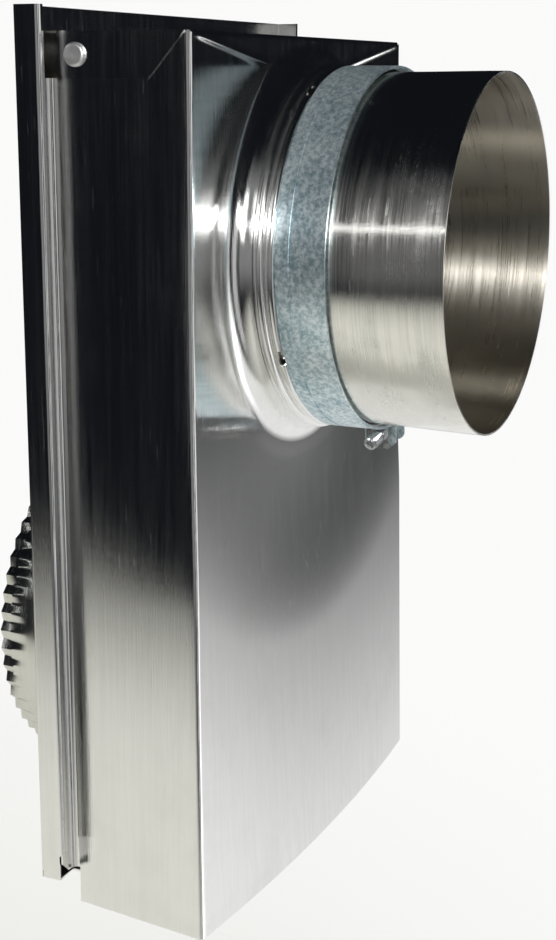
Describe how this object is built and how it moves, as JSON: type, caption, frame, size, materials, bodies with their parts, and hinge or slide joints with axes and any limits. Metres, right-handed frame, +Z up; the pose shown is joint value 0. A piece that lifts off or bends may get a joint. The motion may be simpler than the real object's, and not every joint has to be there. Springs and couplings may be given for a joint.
{
  "type": "periscope dryer vent",
  "caption": "Flat adjustable sheet-metal duct whose two trays slide to offset a crimped rear inlet collar from a clamped front outlet sleeve.",
  "frame": {"origin": "on the rear plate's back face, at the inlet collar's axis", "axes": "+Y into the wall along the inlet collar, +Z up along the slide, +X to the right seen from the front"},
  "size_m": [0.163, 0.141, 0.255],
  "materials": {
    "sheet_aluminium": "bright mill finish, fine brush lines along the height",
    "rivet_aluminium": "bright",
    "collar_aluminium": "bright rolled sheet",
    "sleeve_aluminium": "bright rolled sheet, brush lines round the tube",
    "galvanised_band": "galvanised, spangled",
    "zinc_plated": "zinc plated"
  },
  "bodies": {
    "rear_section": {"rear_tray": "sheet_aluminium", "inlet_collar": "collar_aluminium"},
    "front_section": {"front_housing": "sheet_aluminium", "tab_rivets": "rivet_aluminium", "outlet_collar": "collar_aluminium"},
    "sleeve": {"extension_sleeve": "sleeve_aluminium"},
    "clamp": {"clamp_band": "galvanised_band"},
    "clamp_screw": {"clamp_screw": "zinc_plated"},
    "clamp_nut": {"clamp_nut": "zinc_plated"}
  },
  "joints": [
    {"name": "offset_slide", "type": "slide", "parent": "rear_section", "child": "front_section", "axis": [0, 0, 1], "range_m": [-0.1205, 0.0065]},
    {"name": "sleeve_slide", "type": "slide", "parent": "front_section", "child": "sleeve", "axis": [0, -1, 0], "range_m": [-0.015, 0.025]},
    {"name": "clamp_turn", "type": "hinge", "parent": "front_section", "child": "clamp", "pos_m": [0, -0.06855, 0.1205], "axis": [0, -1, 0], "continuous": true},
    {"name": "screw_turn", "type": "hinge", "parent": "clamp", "child": "clamp_screw", "pos_m": [0.00784, -0.07075, 0.0647], "axis": [0.9903, 0, 0.1392], "range_deg": [0, 1441]},
    {"name": "nut_travel", "type": "slide", "parent": "clamp", "child": "clamp_nut", "axis": [-0.9903, 0, -0.1392], "range_m": [0, 0.0028]}
  ],
  "couplings": [
    {"joint": "screw_turn", "follows": "nut_travel", "rad_per_m": 8976}
  ]
}
